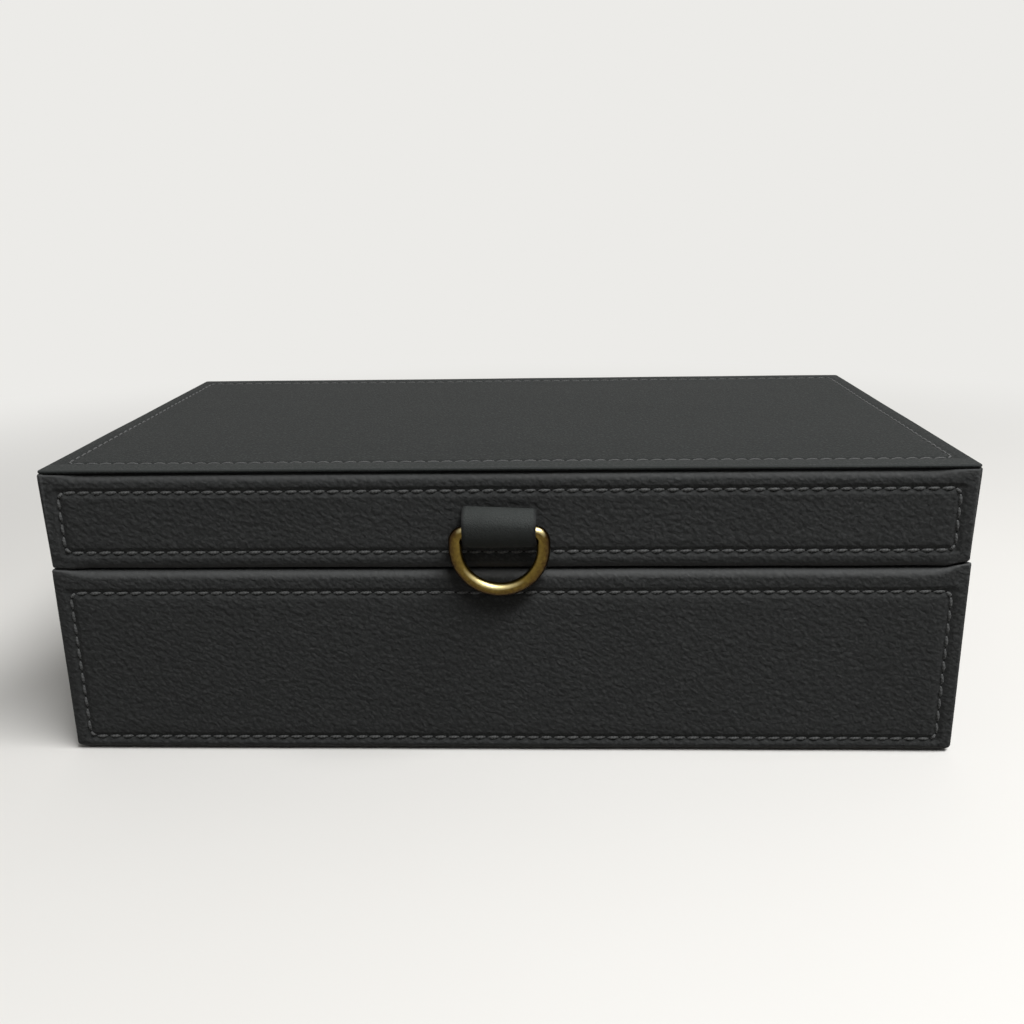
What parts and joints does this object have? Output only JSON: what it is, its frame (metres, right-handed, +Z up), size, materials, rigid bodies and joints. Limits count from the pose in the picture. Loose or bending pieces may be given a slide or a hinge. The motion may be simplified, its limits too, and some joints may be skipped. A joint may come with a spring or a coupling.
{
  "type": "stationery box",
  "caption": "Low rectangular stationery box covered in black grained leather, with a padded hinged lid that lifts by a brass D-ring in a strap loop.",
  "frame": {"origin": "centre of the felt underside on the table, midway between the tray's sides and between its front and back", "axes": "+Z up, -Y towards the front with the pull, +X to the right as seen from the front"},
  "size_m": [0.3, 0.1847, 0.1],
  "materials": {
    "black_leather": "pebbled, satin, tone-on-tone stitching",
    "strap_leather": "pebbled, satin, cut edges",
    "antique_brass": "antiqued, darkened in the hollows, worn bright outside",
    "hinge_brass": "antiqued, brushed",
    "screw_brass": "antiqued, turned",
    "fibreboard": "plain medium-density fibreboard",
    "taupe_suede": "short-nap microsuede",
    "base_felt": "pressed felt",
    "grey_card": "grey board",
    "wadding": "thin bonded wadding"
  },
  "bodies": {
    "tray": {"base_back_lining": "taupe_suede", "base_back_wall": "fibreboard", "base_felt": "base_felt", "base_floor_board": "fibreboard", "base_floor_pad": "taupe_suede", "base_front_lining": "taupe_suede", "base_front_wall": "fibreboard", "base_hinge_screws": "screw_brass", "base_infill_card": "grey_card", "base_leather_wrap": "black_leather", "base_left_lining": "taupe_suede", "base_left_wall": "fibreboard", "base_right_lining": "taupe_suede", "base_right_wall": "fibreboard", "hinge_left_base_leaf": "hinge_brass", "hinge_left_pin": "hinge_brass", "hinge_right_base_leaf": "hinge_brass", "hinge_right_pin": "hinge_brass"},
    "lid": {"hinge_left_lid_leaf": "hinge_brass", "hinge_right_lid_leaf": "hinge_brass", "lid_back_lining": "taupe_suede", "lid_back_wall": "fibreboard", "lid_front_lining": "taupe_suede", "lid_front_wall": "fibreboard", "lid_hinge_screws": "screw_brass", "lid_leather_wrap": "black_leather", "lid_left_lining": "taupe_suede", "lid_left_wall": "fibreboard", "lid_pad": "taupe_suede", "lid_right_lining": "taupe_suede", "lid_right_wall": "fibreboard", "lid_top_board": "fibreboard", "lid_top_leather": "black_leather", "lid_top_padding": "wadding", "ring_strap": "strap_leather"},
    "ring": {"d_ring": "antique_brass"}
  },
  "joints": [
    {"name": "lid_hinge", "type": "hinge", "parent": "tray", "child": "lid", "pos_m": [0, 0.088, 0.0658], "axis": [-1, 0, 0], "range_deg": [0, 95]},
    {"name": "ring_swing", "type": "hinge", "parent": "lid", "child": "ring", "pos_m": [-0.001, -0.08915, 0.07995], "axis": [-1, 0, 0], "range_deg": [-2, 160]}
  ]
}
